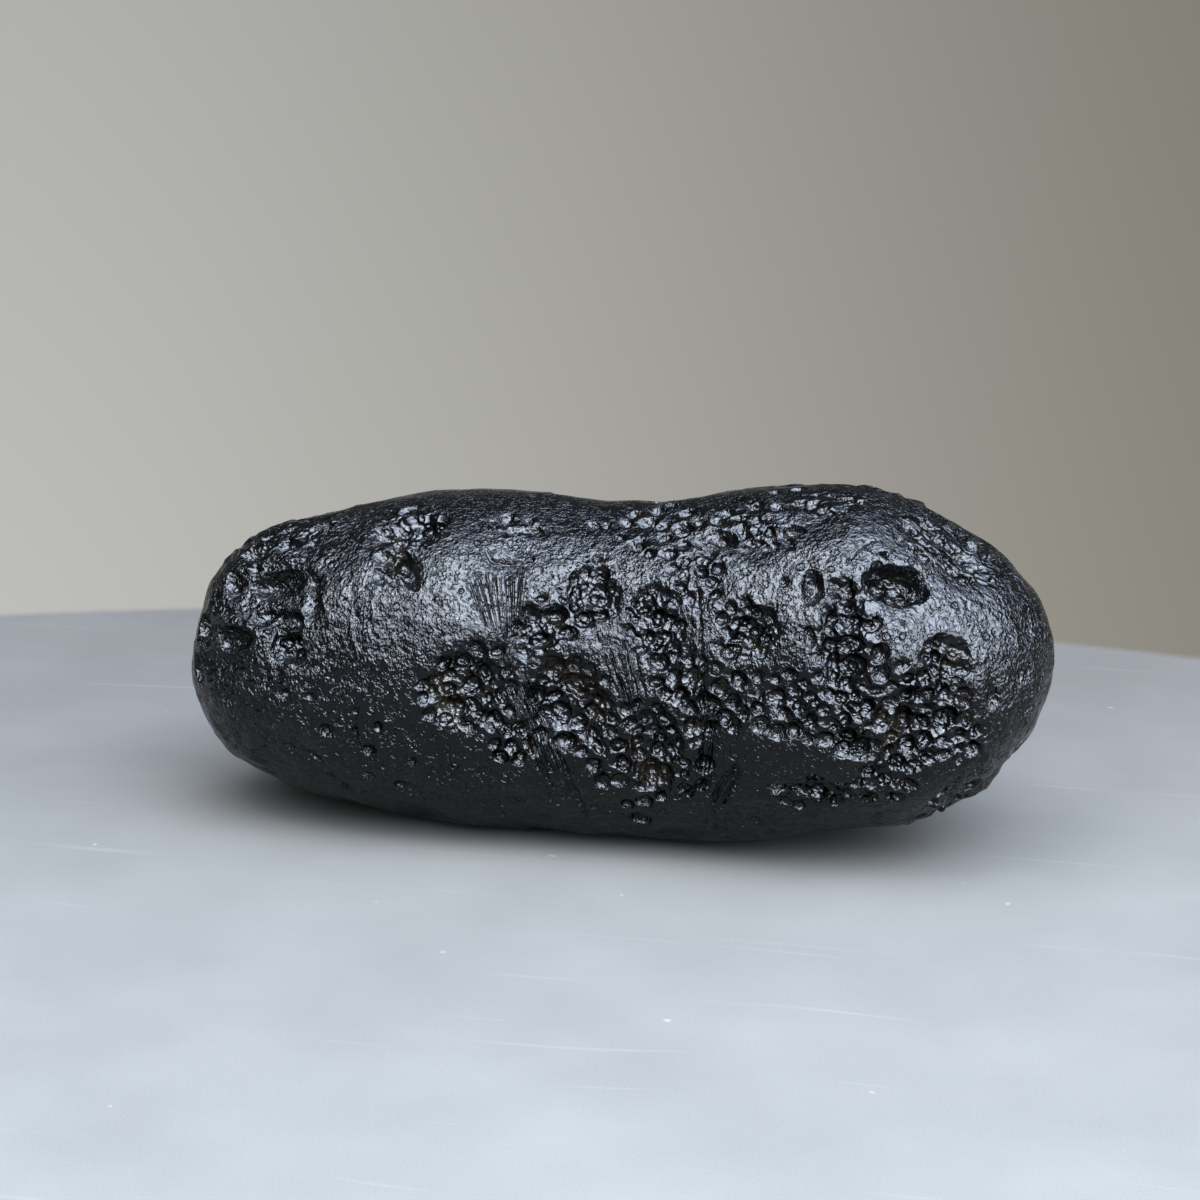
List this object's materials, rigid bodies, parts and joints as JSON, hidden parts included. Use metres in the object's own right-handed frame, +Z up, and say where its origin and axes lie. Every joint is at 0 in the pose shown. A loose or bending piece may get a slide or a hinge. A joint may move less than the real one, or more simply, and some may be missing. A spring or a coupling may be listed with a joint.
{
  "type": "tektite",
  "caption": "Elongated, slightly waisted lump of opaque black natural glass with a pitted, grooved skin, lying on its belly as a desk or display specimen.",
  "frame": {"origin": "under the middle of the bounding box, on the surface that the stone rests on", "axes": "+X along the stone's length, towards its broader and higher end; -Y out of the side with the most pits; +Z up"},
  "size_m": [0.075, 0.029, 0.0315],
  "materials": {
    "black_glass": "opaque jet black natural glass, satin and finely wrinkled skin, glossier inside the pits and grooves"
  },
  "bodies": {
    "root": {"tektite": "black_glass"}
  },
  "joints": []
}
